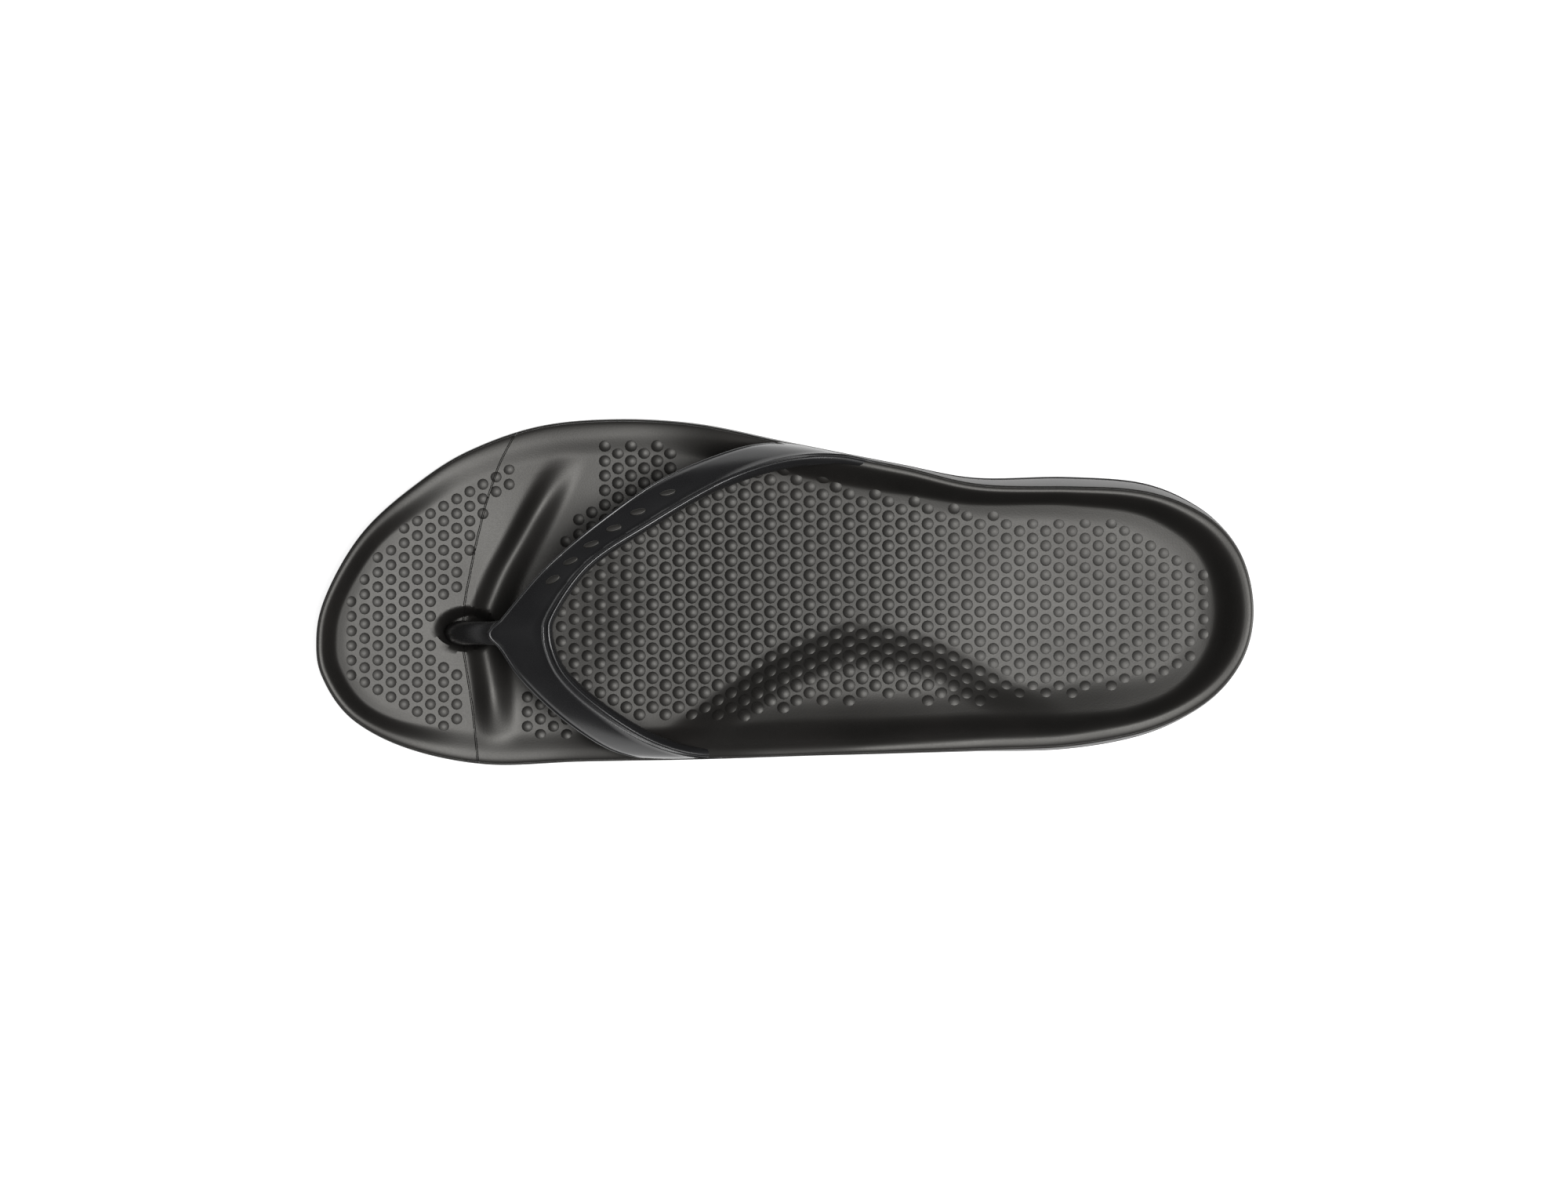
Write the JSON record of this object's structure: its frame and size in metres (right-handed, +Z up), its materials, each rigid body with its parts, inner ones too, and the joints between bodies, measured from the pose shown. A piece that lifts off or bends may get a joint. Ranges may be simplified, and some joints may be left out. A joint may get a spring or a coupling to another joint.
{
  "type": "flip flop",
  "caption": "Right-foot flip flop: contoured foam midsole with rim, arch mound and toe ridge on a grooved outsole, moulded Y strap with toe post, sole flexing at the ball of the foot.",
  "frame": {"origin": "on the ground, at the middle of the sole's length and width", "axes": "+X from the toe to the heel, +Y to the outer (little toe) side, +Z up"},
  "size_m": [0.285, 0.1054, 0.0511],
  "materials": {
    "midsole_foam": "matte moulded EVA foam",
    "outsole_foam": "matte moulded rubber foam",
    "strap_skin": "satin, polished-mould skin"
  },
  "bodies": {
    "rear": {"midsole_rear": "midsole_foam", "outsole_rear": "outsole_foam", "strap_band": "strap_skin"},
    "forefoot": {"midsole_forefoot": "midsole_foam", "outsole_forefoot": "outsole_foam", "toe_post": "strap_skin"}
  },
  "joints": [
    {"name": "ball_flex", "type": "hinge", "parent": "rear", "child": "forefoot", "pos_m": [-0.04589, 0, 0.019], "axis": [0, 1, 0], "range_deg": [0, 35], "stiffness_Nm_per_rad": 3, "deforming": ["strap_band"]}
  ]
}
